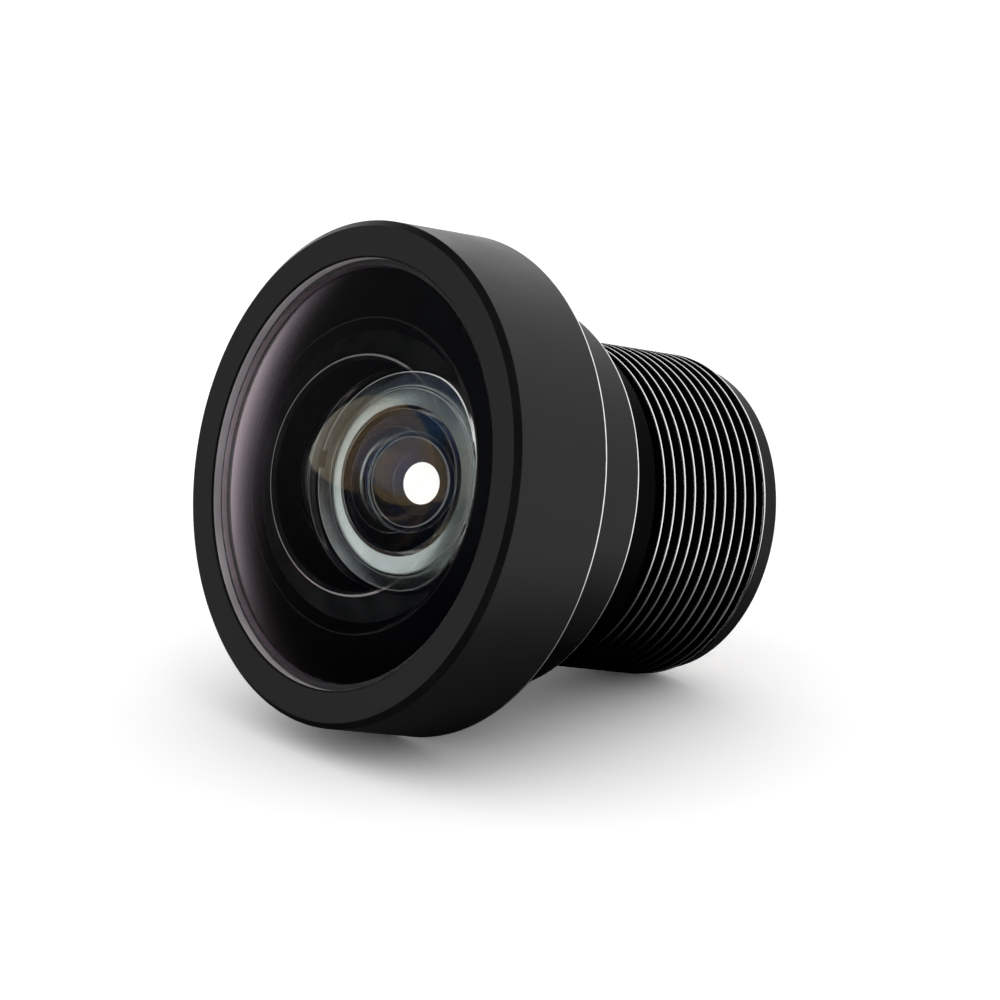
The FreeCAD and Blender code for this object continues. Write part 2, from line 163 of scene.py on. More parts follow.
def cutAway(piece, tool, name):
    # takes the tool's shape out of the piece and removes the tool
    bpy.context.view_layer.objects.active = piece
    cut = piece.modifiers.new(name, "BOOLEAN")
    cut.operation = "DIFFERENCE"
    cut.solver = "EXACT"
    cut.object = tool
    bpy.ops.object.modifier_apply(modifier=cut.name)
    bpy.data.objects.remove(tool)


def paintFaces(piece, slot, chosen):
    # gives the faces that pass the test another material slot
    for face in piece.data.polygons:
        across = math.hypot(face.center.x, face.center.y)
        if chosen(across, face.center.z, face.normal):
            face.material_index = slot


def paintEdge(piece, slot, edge):
    paintFaces(piece, slot, lambda across, along, normal: across > edge - drawing["hair"])


def layDown(piece, nodes, materials):
    # shades the piece, lays it in the frame and lets it stand for its nodes
    bpy.ops.object.select_all(action="DESELECT")
    piece.select_set(True)
    bpy.context.view_layer.objects.active = piece
    for material in materials:
        piece.data.materials.append(material)
    bpy.ops.object.shade_smooth_by_angle(angle=math.radians(drawing["smoothAngle"]))
    piece.scale = (mm, mm, mm)
    piece.rotation_euler = (-(math.pi / 2 + dip), 0, 0)
    seat = lying["shoulderRear"] * mm
    piece.location = (0, -seat * math.cos(dip), seat * math.sin(dip))
    bpy.ops.object.transform_apply(location=True, rotation=True, scale=True)
    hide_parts(*nodes)
    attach(piece, "root")


# Nodes that the groups, the materials and the surroundings are put together from
def newGroup(name, inputs, outputs):
    group = bpy.data.node_groups.new(name, "ShaderNodeTree")
    for label, kind, value in inputs:
        socket = group.interface.new_socket(label, in_out="INPUT", socket_type=kind)
        if value is not None:
            socket.default_value = value
    for label, kind in outputs:
        group.interface.new_socket(label, in_out="OUTPUT", socket_type=kind)
    entry = group.nodes.new("NodeGroupInput")
    leave = group.nodes.new("NodeGroupOutput")
    return group, entry.outputs, leave.inputs


def feed(tree, value, socket):
    # a number or a colour is set on the socket, and anything else is linked to it
    if isinstance(value, (int, float, tuple)):
        socket.default_value = value
    elif value is not None:
        tree.links.new(value, socket)


def mathNode(tree, operation, first, second=None, third=None):
    node = tree.nodes.new("ShaderNodeMath")
    node.operation = operation
    for socket, value in zip(node.inputs, (first, second, third)):
        feed(tree, value, socket)
    return node.outputs[0]


def vectorNode(tree, operation, first, second=None):
    node = tree.nodes.new("ShaderNodeVectorMath")
    node.operation = operation
    for socket, value in zip(node.inputs, (first, second)):
        feed(tree, value, socket)
    return node.outputs["Value" if operation in ("LENGTH", "DOT_PRODUCT") else "Vector"]


def vectorParts(tree, vector):
    node = tree.nodes.new("ShaderNodeSeparateXYZ")
    tree.links.new(vector, node.inputs[0])
    return node.outputs


def rangeNode(tree, value, low, high, toLow=0.0, toHigh=1.0):
    node = tree.nodes.new("ShaderNodeMapRange")
    node.interpolation_type = "SMOOTHSTEP"
    labels = ("Value", "From Min", "From Max", "To Min", "To Max")
    for label, amount in zip(labels, (value, low, high, toLow, toHigh)):
        feed(tree, amount, node.inputs[label])
    return node.outputs["Result"]


def noiseNode(tree, vector, scale, detail, roughness=0.5):
    node = tree.nodes.new("ShaderNodeTexNoise")
    node.inputs["Scale"].default_value = scale
    node.inputs["Detail"].default_value = detail
    node.inputs["Roughness"].default_value = roughness
    tree.links.new(vector, node.inputs["Vector"])
    return node.outputs[0]


def lengthNode(tree, first, second):
    # the length of a step that has these two parts
    square = mathNode(tree, "MULTIPLY", first, first)
    return mathNode(tree, "SQRT", mathNode(tree, "MULTIPLY_ADD", second, second, square))


def polarPlaces(tree, vector):
    # distance from the axis and station, both in millimetres
    parts = vectorParts(tree, vector)
    return lengthNode(tree, parts[0], parts[1]), parts[2]


def mixColours(tree, mask, first, second):
    node = tree.nodes.new("ShaderNodeMix")
    node.data_type = "RGBA"
    tree.links.new(mask, node.inputs[0])
    feed(tree, first, node.inputs[6])
    feed(tree, second, node.inputs[7])
    return node.outputs[2]


bareEdge = {
    "flawScale": 2.2, "flawDetail": 4.0, "flawRoughness": 0.65, "flawMean": 0.5,
    "core": 0.7,  # the share of the width that is wholly bare
}


def makeBareEdge():
    # a bright ring where two turned surfaces meet, broken up by handling
    group, entry, leave = newGroup(
        "bareEdge",
        [("Vector", "NodeSocketVector", None), ("Across", "NodeSocketFloat", 9.0),
         ("Station", "NodeSocketFloat", 0.0), ("Width", "NodeSocketFloat", 0.05),
         ("Raggedness", "NodeSocketFloat", 0.3)],
        [("Mask", "NodeSocketFloat")],
    )
    across, station = polarPlaces(group, entry["Vector"])
    offAcross = mathNode(group, "SUBTRACT", across, entry["Across"])
    offStation = mathNode(group, "SUBTRACT", station, entry["Station"])
    distance = lengthNode(group, offAcross, offStation)
    flaw = noiseNode(
        group, entry["Vector"], bareEdge["flawScale"], bareEdge["flawDetail"], bareEdge["flawRoughness"]
    )
    flaw = mathNode(group, "SUBTRACT", flaw, bareEdge["flawMean"])
    flaw = mathNode(group, "MULTIPLY", flaw, entry["Raggedness"])
    width = mathNode(group, "MULTIPLY", entry["Width"], mathNode(group, "ADD", flaw, 1.0))
    near = mathNode(group, "MULTIPLY", width, bareEdge["core"])
    group.links.new(rangeNode(group, distance, near, width, 1.0, 0.0), leave["Mask"])
    return group


turnedFinish = {
    "gritScale": 22.0, "gritDetail": 3.0, "gritRoughness": 0.6,
    "cloudScale": 0.35, "cloudDetail": 3.0,
    "lineHeight": 0.25,  # of a tool line, against the grit
    "bumpDepth": 0.02,
}


def makeTurnedFinish():
    # fine tool lines round the axis, a slight cloudiness and fine grit
    group, entry, leave = newGroup(
        "turnedFinish",
        [("Vector", "NodeSocketVector", None), ("Line Spacing", "NodeSocketFloat", 0.05),
         ("Grit", "NodeSocketFloat", 1.0)],
        [("Height", "NodeSocketFloat"), ("Cloud", "NodeSocketFloat")],
    )
    look = turnedFinish
    across, station = polarPlaces(group, entry["Vector"])
    run = mathNode(group, "ADD", across, station)
    rate = mathNode(group, "DIVIDE", 2 * math.pi, entry["Line Spacing"])
    lines = mathNode(group, "SINE", mathNode(group, "MULTIPLY", run, rate))
    grit = noiseNode(group, entry["Vector"], look["gritScale"], look["gritDetail"], look["gritRoughness"])
    grit = mathNode(group, "MULTIPLY", grit, entry["Grit"])
    cloud = noiseNode(group, entry["Vector"], look["cloudScale"], look["cloudDetail"])
    group.links.new(mathNode(group, "MULTIPLY_ADD", lines, look["lineHeight"], grit), leave["Height"])
    group.links.new(cloud, leave["Cloud"])
    return group


def makeDust():
    # a few small specks of different sizes
    group, entry, leave = newGroup(
        "dust",
        [("Vector", "NodeSocketVector", None), ("Density", "NodeSocketFloat", 1.2),
         ("Speck Size", "NodeSocketFloat", 0.05)],
        [("Mask", "NodeSocketFloat")],
    )
    cells = group.nodes.new("ShaderNodeTexVoronoi")
    group.links.new(entry["Vector"], cells.inputs["Vector"])
    group.links.new(entry["Density"], cells.inputs["Scale"])
    chance = group.nodes.new("ShaderNodeSeparateColor")
    group.links.new(cells.outputs["Color"], chance.inputs[0])
    speck = mathNode(group, "MULTIPLY", entry["Speck Size"], chance.outputs[0])
    group.links.new(mathNode(group, "LESS_THAN", cells.outputs["Distance"], speck), leave["Mask"])
    return group


edgeGroup = makeBareEdge()
finishGroup = makeTurnedFinish()
dustGroup = makeDust()


def lensVector(tree):
    # Object coordinates turned to the optical axis and scaled to millimetres from the front face
    place = tree.nodes.new("ShaderNodeTexCoord")
    turn = tree.nodes.new("ShaderNodeMapping")
    turn.inputs["Rotation"].default_value = (math.pi / 2 + dip, 0, 0)
    turn.inputs["Scale"].default_value = (1 / mm, 1 / mm, 1 / mm)
    turn.inputs["Location"].default_value = (0, 0, lying["shoulderRear"])
    tree.links.new(place.outputs["Object"], turn.inputs["Vector"])
    return turn.outputs["Vector"]


def newMaterial(name):
    material = bpy.data.materials.new(name)
    material.use_nodes = True
    tree = material.node_tree
    return material, tree, tree.nodes["Principled BSDF"]


def placeGroup(tree, group, vector, values):
    node = tree.nodes.new("ShaderNodeGroup")
    node.node_tree = group
    tree.links.new(vector, node.inputs["Vector"])
    for label, value in values.items():
        node.inputs[label].default_value = value
    return node.outputs


def darkened(colour, share):
    return tuple(share * channel for channel in colour[:3]) + (1,)


def bumped(tree, shader, finish, strength):
    bump = tree.nodes.new("ShaderNodeBump")
    bump.inputs["Strength"].default_value = strength
    bump.inputs["Distance"].default_value = turnedFinish["bumpDepth"] * mm
    tree.links.new(finish["Height"], bump.inputs["Height"])
    tree.links.new(bump.outputs["Normal"], shader.inputs["Normal"])


anodised = {
    "colour": (0.0042, 0.0042, 0.0045, 1),
    "cloudColour": (0.0062, 0.0062, 0.0065, 1),
    # the end face's paler colour is a painted reflection, standing in for the gloss the face would catch
    "paintedFaceGleam": (0.026, 0.026, 0.0265, 1),
    "colourClouds": (0.35, 0.65),  # the cloudiness at which the colour starts and ends its change
    "roughness": 0.36,
    "roughnessSpread": 0.06,
    "roughnessClouds": (0.3, 0.7),
    "reflectance": 0.25,
    "lineSpacing": 0.045,
    "grit": 1.0,
    "bump": 0.012,
    "bareColour": (0.82, 0.81, 0.80, 1),
    "bareRoughness": 0.22,
}


def bareMask(tree, vector, edges, band):
    # where the metal shows through the black
    masks = []
    for across, station, width, raggedness in edges:
        values = {"Across": across, "Station": station, "Width": width, "Raggedness": raggedness}
        masks.append(placeGroup(tree, edgeGroup, vector, values)["Mask"])
    if band:
        least, first, last = band
        across, station = polarPlaces(tree, vector)
        inside = mathNode(tree, "GREATER_THAN", across, least)
        inside = mathNode(tree, "MULTIPLY", inside, mathNode(tree, "GREATER_THAN", station, first))
        masks.append(mathNode(tree, "MULTIPLY", inside, mathNode(tree, "LESS_THAN", station, last)))
    mask = masks[0]
    for other in masks[1:]:
        mask = mathNode(tree, "MAXIMUM", mask, other)
    return mask


def blackMetal(name, edges=(), band=None, gleamFaceStation=None, depth=1.0, roughness=anodised["roughness"],
               reflectance=anodised["reflectance"]):
    # satin black anodising, bare at edges and on a band; an edge is (across, station, width,
    # raggedness), a band is (least distance from the axis, first station, last station); in front of the
    # station given for the end face its colour is paler, a painted reflection; depth divides the colour as
    # painted shade
    material, tree, shader = newMaterial(name)
    vector = lensVector(tree)
    finish = placeGroup(tree, finishGroup, vector, {
        "Line Spacing": anodised["lineSpacing"], "Grit": anodised["grit"]})
    darker = darkened(anodised["colour"], 1 / depth)
    paler = darkened(anodised["cloudColour"], 1 / depth)
    coat = mixColours(tree, rangeNode(tree, finish["Cloud"], *anodised["colourClouds"]), darker, paler)
    if gleamFaceStation:
        station = polarPlaces(tree, vector)[1]
        coat = mixColours(tree, mathNode(tree, "LESS_THAN", station, gleamFaceStation), coat, anodised["paintedFaceGleam"])
    spread = anodised["roughnessSpread"] / 2
    rough = rangeNode(
        tree, finish["Cloud"], *anodised["roughnessClouds"], roughness - spread, roughness + spread
    )
    if edges or band:
        mask = bareMask(tree, vector, edges, band)
        coat = mixColours(tree, mask, coat, anodised["bareColour"])
        rough = mathNode(tree, "MULTIPLY", rough, mathNode(tree, "SUBTRACT", 1.0, mask))
        rough = mathNode(tree, "ADD", rough, mathNode(tree, "MULTIPLY", mask, anodised["bareRoughness"]))
        tree.links.new(mask, shader.inputs["Metallic"])
    tree.links.new(coat, shader.inputs["Base Color"])
    tree.links.new(rough, shader.inputs["Roughness"])
    shader.inputs["Specular IOR Level"].default_value = reflectance
    bumped(tree, shader, finish, anodised["bump"])
    return material


paint = {
    "lineSpacing": 0.08, "grit": 1.0, "darkShare": 0.6, "clouds": (0.3, 0.7), "metallic": 0.0, "bump": 0.05,
}
bareMetal = {
    "lineSpacing": 0.05, "grit": 0.6, "darkShare": 0.8, "clouds": (0.3, 0.7), "metallic": 1.0, "bump": 0.04,
}
# a pale, faintly pink look for the cap ring's lip wall: a painted highlight that makes the glass rim beside
# it gleam
gleamLipLook = {**bareMetal, "metallic": 0.3}


def cloudedMaterial(name, look, colour, roughness, level=0.5):
    # one colour, a little darker in clouds, with faint tool lines; level is how much a paint mirrors
    material, tree, shader = newMaterial(name)
    vector = lensVector(tree)
    finish = placeGroup(tree, finishGroup, vector, {
        "Line Spacing": look["lineSpacing"], "Grit": look["grit"]})
    darker = darkened(colour, look["darkShare"])
    shade = mixColours(tree, rangeNode(tree, finish["Cloud"], *look["clouds"]), darker, colour)
    tree.links.new(shade, shader.inputs["Base Color"])
    shader.inputs["Metallic"].default_value = look["metallic"]
    shader.inputs["Roughness"].default_value = roughness
    shader.inputs["Specular IOR Level"].default_value = level
    bumped(tree, shader, finish, look["bump"])
    return material


glassDust = {"density": 1.2, "roughness": 0.8}
glassHaze = {  # a soft gleam where the dome turns away
    "tint": (1.0, 0.70, 0.84, 1), "coat": 0.7, "coatRoughness": 0.14, "coatIndex": 1.6,
    "sheen": 1.0, "sheenRoughness": 0.2, "sheenTint": (1.0, 0.84, 0.91, 1),
}


def coatedGlass(name, index, film, filmIndex=1.38, level=0.5, speckSize=None, hazy=False):
    # clear glass with a thin coating whose thickness is in nanometres
    material, tree, shader = newMaterial(name)
    shader.inputs["Base Color"].default_value = (1, 1, 1, 1)
    shader.inputs["IOR"].default_value = index
    shader.inputs["Transmission Weight"].default_value = 1.0
    shader.inputs["Specular IOR Level"].default_value = level
    shader.inputs["Thin Film Thickness"].default_value = film
    shader.inputs["Thin Film IOR"].default_value = filmIndex
    shader.inputs["Roughness"].default_value = 0.0
    if hazy:
        shader.inputs["Specular Tint"].default_value = glassHaze["tint"]
        shader.inputs["Coat Weight"].default_value = glassHaze["coat"]
        shader.inputs["Coat Roughness"].default_value = glassHaze["coatRoughness"]
        shader.inputs["Coat IOR"].default_value = glassHaze["coatIndex"]
        shader.inputs["Sheen Weight"].default_value = glassHaze["sheen"]
        shader.inputs["Sheen Roughness"].default_value = glassHaze["sheenRoughness"]
        shader.inputs["Sheen Tint"].default_value = glassHaze["sheenTint"]
    if speckSize:
        values = {"Density": glassDust["density"], "Speck Size": speckSize}
        specks = placeGroup(tree, dustGroup, lensVector(tree), values)["Mask"]
        rough = mathNode(tree, "MULTIPLY", specks, glassDust["roughness"])
        tree.links.new(rough, shader.inputs["Roughness"])
    return material


groundSurface = {
    "grainScale": 9.0, "grainDetail": 4.0, "grainClouds": (0.3, 0.7), "darkShare": 0.85, "roughness": 0.8,
}


def groundGlass(name, index, colour, share):
    # a matt ground bevel, which lets a share of the light through and scatters the rest
    material, tree, shader = newMaterial(name)
    grain = noiseNode(tree, lensVector(tree), groundSurface["grainScale"], groundSurface["grainDetail"])
    grain = rangeNode(tree, grain, *groundSurface["grainClouds"])
    shade = mixColours(tree, grain, darkened(colour, groundSurface["darkShare"]), colour)
    tree.links.new(shade, shader.inputs["Base Color"])
    shader.inputs["IOR"].default_value = index
    shader.inputs["Transmission Weight"].default_value = share
    shader.inputs["Roughness"].default_value = groundSurface["roughness"]
    return material


innerMetal = blackMetal("innerMetal", roughness=0.5)
brightMetal = cloudedMaterial("brightMetal", bareMetal, (0.88, 0.94, 0.92, 1), roughness=0.2)
# the lip's inner wall is painted pale and pink as a painted highlight for the glass rim's gleam
gleamLipPaint = cloudedMaterial("gleamLipPaint", gleamLipLook, (0.85, 0.79, 0.83, 1), roughness=0.5)
spacerMetal = cloudedMaterial("spacerMetal", bareMetal, (0.55, 0.60, 0.59, 1), roughness=0.22)
foilFilm = cloudedMaterial("foilFilm", paint, (0.02, 0.02, 0.02, 1), roughness=0.6, level=0.3)
sealRubber = cloudedMaterial("sealRubber", paint, (0.03, 0.03, 0.03, 1), roughness=0.7)
edgePaint = cloudedMaterial("edgePaint", paint, (0.003, 0.003, 0.003, 1), roughness=0.6, level=0.0)
seatPaint = cloudedMaterial("seatPaint", paint, (0.12, 0.12, 0.12, 1), roughness=0.6, level=0.0)
rimPaint = cloudedMaterial("rimPaint", paint, (0.10, 0.09, 0.09, 1), roughness=0.6, level=0.0)
rimBevel = groundGlass("rimBevel", index=1.6, colour=(0.85, 0.87, 0.87, 1), share=0.3)
print("materials ready")

# Cap ring
capRing = {
    "outer": 9.0685,  # a little under 9.07, so that the ring stays inside the CAD's box
    "bore": 8.42, "lip": 7.70, "lipRear": 0.40, "rear": lying["headRear"],
    "faceChamfer": 0.22, "lipChamfer": 0.08,
    "edgeRound": 0.05, "faceRound": 0.03, "lipRound": 0.02,
    # the face depth bounds the end face that is painted paler, as a painted reflection
    "gleamFaceDepth": 0.012, "bareWidth": 0.09, "raggedness": 0.5,
}
ring = capRing
piece = turnedPiece("frontCapRing", [
    (ring["lip"], ring["lipRear"]),
    (ring["lip"], ring["lipChamfer"], ring["lipRound"]),
    (ring["lip"] + ring["lipChamfer"], 0, ring["lipRound"]),
    (ring["outer"] - ring["faceChamfer"], 0, ring["faceRound"]),
    (ring["outer"], ring["faceChamfer"], ring["faceRound"]),
    (ring["outer"], ring["rear"], ring["edgeRound"]),
    (ring["bore"], ring["rear"]),
    (ring["bore"], ring["lipRear"]),
], steps=256)
capMetal = blackMetal(
    "capRingMetal", edges=[(ring["outer"], ring["rear"], ring["bareWidth"], ring["raggedness"])],
    gleamFaceStation=ring["gleamFaceDepth"],
)
# the lip's bore and chamfer take the pale lip colour, a painted highlight
paintFaces(piece, 1, lambda across, along, normal: (
    across < ring["lip"] + drawing["hair"] and along < ring["lipRear"]))
layDown(piece, ["front_cap_ring"], [capMetal, gleamLipPaint])
print("cap ring turned")

# Barrel
barrel = {
    "headFront": 0.52, "headRear": lying["headRear"], "head": 8.40,
    "shoulder": 7.08, "shoulderRear": lying["shoulderRear"],
    "thread": lying["threadRadius"], "threadEnd": 14.809,
    "band": 5.72, "bandFront": 15.089, "rear": 15.849, "rearChamfer": 0.22,
    "edgeRound": 0.05, "fineRound": 0.03, "lipRound": 0.04,
    # the bores, from the front to the rear, and the stations of the seats between them
    "glassBore": 7.92, "glassSeat": 2.5,
    "sealOuter": 7.66, "sealInner": 6.76, "sealRear": 3.18,
    "ringBore": 5.9, "secondFront": 3.787,
    "secondBore": 5.4, "secondSeat": 5.219,
    "thirdBore": 4.6, "thirdSeat": 6.883,
    "stackBore": 4.2, "lipFront": 14.539,
    "rearOpening": 3.45, "filterSeat": 15.399, "filterBore": 4.55,
    "bareWidth": 0.09, "raggedness": 0.5,
    "bandReflectance": 0.14,
}
lensBarrel = turnedPiece("lensBarrel", [
    (barrel["glassBore"], barrel["headFront"]),
    (barrel["head"], barrel["headFront"]),
    (barrel["head"], barrel["headRear"]),
    (barrel["shoulder"], barrel["headRear"]),
    (barrel["shoulder"], barrel["shoulderRear"], barrel["edgeRound"]),
    (barrel["thread"], barrel["shoulderRear"]),
    (barrel["thread"], barrel["threadEnd"]),
    (barrel["band"], barrel["bandFront"]),
    (barrel["band"], barrel["rear"] - barrel["rearChamfer"], barrel["fineRound"]),
    (barrel["band"] - barrel["rearChamfer"], barrel["rear"], barrel["fineRound"]),
    (barrel["filterBore"], barrel["rear"], barrel["fineRound"]),
    (barrel["filterBore"], barrel["filterSeat"]),
    (barrel["rearOpening"], barrel["filterSeat"], barrel["lipRound"]),
    (barrel["rearOpening"], barrel["lipFront"]),
    (barrel["stackBore"], barrel["lipFront"]),
    (barrel["stackBore"], barrel["thirdSeat"]),
    (barrel["thirdBore"], barrel["thirdSeat"]),
    (barrel["thirdBore"], barrel["secondSeat"]),
    (barrel["secondBore"], barrel["secondSeat"]),
    (barrel["secondBore"], barrel["secondFront"]),
    (barrel["ringBore"], barrel["secondFront"]),
    (barrel["ringBore"], barrel["glassSeat"]),
    (barrel["sealInner"], barrel["glassSeat"]),
    (barrel["sealInner"], barrel["sealRear"]),
    (barrel["sealOuter"], barrel["sealRear"]),
    (barrel["sealOuter"], barrel["glassSeat"]),
    (barrel["glassBore"], barrel["glassSeat"]),
], steps=256)

thread = {
    "pitch": 0.5, "depth": 0.307, "rootFlat": 0.090, "flankAngle": 30,
    "firstCrest": 9.813,  # on the side of +X
    "start": -0.5, "turns": 11.6,  # of the groove, from the far side to the end chamfer
    "toolProud": 0.08,  # how far the tool stands out of the thread
    "stepsPerTurn": 128,
    "bareCrest": 5.97,  # the metal is bare from this radius outwards
    "bareFront": 9.6, "bareRear": 14.80,
    "bareWidth": 0.10, "raggedness": 1.6,  # of the last crest's edge
    # the thread's colour is divided by this, as painted shade on its flanks, roots and neck
    "reflectance": 0.02, "grooveShadePaint": 6.0,
    "innermost": 5.6, "outermost": 6.05,  # faces between these radii get the thread's material
    "endInnermost": 5.2,  # behind the thread, faces outside this radius get the end's material
}


def threadTool(name):
    # the helical groove's own shape, a closed bar that the thread is cut with
    slope = math.tan(math.radians(thread["flankAngle"]))
    halfRoot = thread["rootFlat"] / 2
    halfTop = halfRoot + (thread["depth"] + thread["toolProud"]) * slope
    root = barrel["thread"] - thread["depth"]
    top = barrel["thread"] + thread["toolProud"]
    groove = thread["firstCrest"] + (thread["start"] - 0.5) * thread["pitch"]
    here = (-root, groove - halfRoot)
    tool = startOutline(name, here)
    for there in ((-root, groove + halfRoot), (-top, groove + halfTop), (-top, groove - halfTop)):
        here = lineTo(here, there)
    bpy.ops.mesh.select_all(action="SELECT")
    bpy.ops.mesh.edge_face_add()
    bpy.ops.object.mode_set(mode="OBJECT")
    screw = tool.modifiers.new("winding", "SCREW")
    screw.axis = "Z"
    screw.screw_offset = thread["pitch"] * thread["turns"]
    screw.angle = 2 * math.pi * thread["turns"]
    screw.steps = screw.render_steps = int(thread["stepsPerTurn"] * thread["turns"])
    screw.use_merge_vertices = False
    bpy.ops.object.modifier_apply(modifier=screw.name)
    bpy.ops.object.mode_set(mode="EDIT")
    bpy.ops.mesh.select_all(action="SELECT")
    bpy.ops.mesh.fill_holes(sides=4)
    bpy.ops.mesh.select_all(action="SELECT")
    bpy.ops.mesh.normals_make_consistent(inside=False)
    bpy.ops.object.mode_set(mode="OBJECT")
    return tool


cutAway(lensBarrel, threadTool("threadTool"), "thread")
barrelMetal = blackMetal("barrelMetal", edges=[
    (barrel["shoulder"], barrel["shoulderRear"], barrel["bareWidth"], barrel["raggedness"])])
# its flanks, roots and neck are darkened as painted shade in the grooves
threadMetal = blackMetal(
    "threadMetal",
    edges=[(barrel["thread"], barrel["threadEnd"], thread["bareWidth"], thread["raggedness"])],
    band=(thread["bareCrest"], thread["bareFront"], thread["bareRear"]),
    depth=thread["grooveShadePaint"], reflectance=thread["reflectance"],
)
bandMetal = blackMetal("bandMetal", reflectance=barrel["bandReflectance"])
paintFaces(lensBarrel, 1, lambda across, along, normal: (
    thread["innermost"] < across < thread["outermost"]
    and barrel["shoulderRear"] < along < barrel["threadEnd"]))
paintFaces(lensBarrel, 2, lambda across, along, normal: (
    across > thread["endInnermost"] and along > barrel["threadEnd"]))
layDown(lensBarrel, ["barrel"], [barrelMetal, threadMetal, bandMetal])
print("barrel turned and threaded,", len(lensBarrel.data.polygons), "faces")


# Lenses. A curve is the radius of its sphere, and negative where it bulges to the rear. A rim is the
# radius at which a curve ends in a flat land, and it is the edge itself where there is no land.
stackEdge = 4.18  # radius of all that stands in the barrel's stack bore


def lensPiece(name, lens, rearCorners=None, steps=192):
    # rearCorners stand in for the plain corner at the rear rim
    frontEnd = (lens["frontRim"], lens["frontLand"])
    corners = [(lens["edge"], lens["frontLand"]), (lens["edge"], lens["rearLand"])]
    corners += rearCorners or [(lens["rearRim"], lens["rearLand"])]
    stretches = [(frontEnd, lens["frontPole"] + lens["frontCurve"], lens["frontSteps"])]
    for corner in corners:
        if corner != stretches[-1][0]:
            stretches.append((corner,))
    rearPole = (0, lens["rearPole"])
    if lens["rearCurve"]:
        stretches.append((rearPole, lens["rearPole"] + lens["rearCurve"], lens["rearSteps"]))
    else:
        stretches.append((rearPole,))
    return turnedSolid(name, (0, lens["frontPole"]), stretches, steps)


firstLens = {
    "index": 1.77, "frontPole": -1.7272, "rearPole": -0.5272, "frontCurve": 15.0, "rearCurve": 5.56,
    "edge": 7.90, "frontRim": capRing["lip"], "frontLand": capRing["lipRear"],
    "rearRim": 4.95, "rearLand": barrel["glassSeat"],
    "frontSteps": 64, "rearSteps": 64, "rimChamfer": 0.02,
    "frontFilm": 130, "rearFilm": 120,
    "bevel": 0.22, "bevelIndex": 1.1, "bevelColour": (0.97, 0.96, 0.97, 1), "bevelShare": 0.95,
    "flat": 0.99,  # a face whose normal has at least this much of the axis is flat
}
lens = firstLens
rim = lens["rearRim"] - lens["rimChamfer"]
rimStation = lens["rearPole"] + lens["rearCurve"] - math.sqrt(lens["rearCurve"] ** 2 - rim ** 2)
piece = lensPiece("frontLens", lens, rearCorners=[
    (lens["rearRim"] + lens["rimChamfer"], lens["rearLand"]), (rim, rimStation)], steps=256)
paintFaces(piece, 1, lambda across, along, normal: across < lens["rearRim"] and normal.z > 0)
paintFaces(piece, 2, lambda across, along, normal: (
    along > lens["rearLand"] - drawing["hair"] and across > lens["rearRim"] and normal.z > lens["flat"]))
paintFaces(piece, 3, lambda across, along, normal: (
    across > lens["frontRim"] - lens["bevel"] and along < lens["frontLand"] + drawing["hair"]))
paintEdge(piece, 4, lens["edge"])
paintFaces(piece, 5, lambda across, along, normal: (
    abs(across - lens["rearRim"]) < lens["rimChamfer"] and rimStation < along < lens["rearLand"]))
layDown(piece, ["first_lens"], [
    coatedGlass("frontGlassOutside", lens["index"], lens["frontFilm"], hazy=True),
    coatedGlass("frontGlassInside", lens["index"], lens["rearFilm"]),
    edgePaint,
    groundGlass("groundBevel", lens["bevelIndex"], lens["bevelColour"], lens["bevelShare"]),
    seatPaint,
    rimPaint,
])

secondLens = {
    "index": 1.59, "frontPole": 2.5428, "rearPole": 3.2428, "frontCurve": 8.33, "rearCurve": 3.34,
    "edge": 5.38, "frontRim": 4.38, "frontLand": barrel["secondFront"],
    "rearRim": 3.0488, "rearLand": barrel["secondSeat"],
    "frontSteps": 48, "rearSteps": 48, "film": 130, "speckSize": 0.04,
    "frontBevel": 0.07, "rearBevel": 0.05,
}
lens = secondLens
piece = lensPiece("secondLens", lens)
paintEdge(piece, 1, lens["edge"])
paintFaces(piece, 2, lambda across, along, normal: (
    normal.z < 0 and lens["frontRim"] - lens["frontBevel"] < across < lens["frontRim"]))
paintFaces(piece, 2, lambda across, along, normal: (
    normal.z > 0 and lens["rearRim"] - lens["rearBevel"] < across < lens["rearRim"]))
secondGlass = coatedGlass("secondGlass", lens["index"], lens["film"], speckSize=lens["speckSize"])
layDown(piece, ["second_lens"], [secondGlass, edgePaint, rimBevel])

thirdLens = {
    "index": 1.85, "frontPole": 5.4828, "rearPole": 6.8828, "frontCurve": 8.27, "rearCurve": None,
    "edge": 4.58, "frontRim": 2.9502, "frontLand": 6.0269, "rearRim": 4.58, "rearLand": 6.8828,
    "frontSteps": 24, "film": 115, "frontBevel": 0.08,
}
lens = thirdLens
piece = lensPiece("thirdLens", lens)
paintEdge(piece, 1, lens["edge"])
paintFaces(piece, 2, lambda across, along, normal: (
    normal.z < 0 and lens["frontRim"] - lens["frontBevel"] < across < lens["frontRim"]))
thirdGlass = coatedGlass("thirdGlass", lens["index"], lens["film"])
layDown(piece, ["third_lens"], [thirdGlass, edgePaint, rimBevel])

fourthLens = {
    "index": 1.62, "frontPole": 9.2528, "rearPole": 11.2928, "frontCurve": -39.5, "rearCurve": -3.2,
    "edge": 2.5986, "frontRim": 2.5986, "frontLand": 9.1672, "rearRim": 2.5986, "rearLand": 9.9601,
    "frontSteps": 16, "rearSteps": 40, "film": 125,
    "cementGap": 0.002,
}
lens = fourthLens
piece = lensPiece("fourthLens", lens)
paintEdge(piece, 1, lens["edge"])
paintFaces(piece, 2, lambda across, along, normal: normal.z > 0 and across < lens["edge"] - drawing["hair"])
fourthGlass = coatedGlass("fourthGlass", lens["index"], lens["film"])
cement = coatedGlass("cementedFace", lens["index"], 0.0, level=0.0)
layDown(piece, ["fourth_lens"], [fourthGlass, edgePaint, cement])

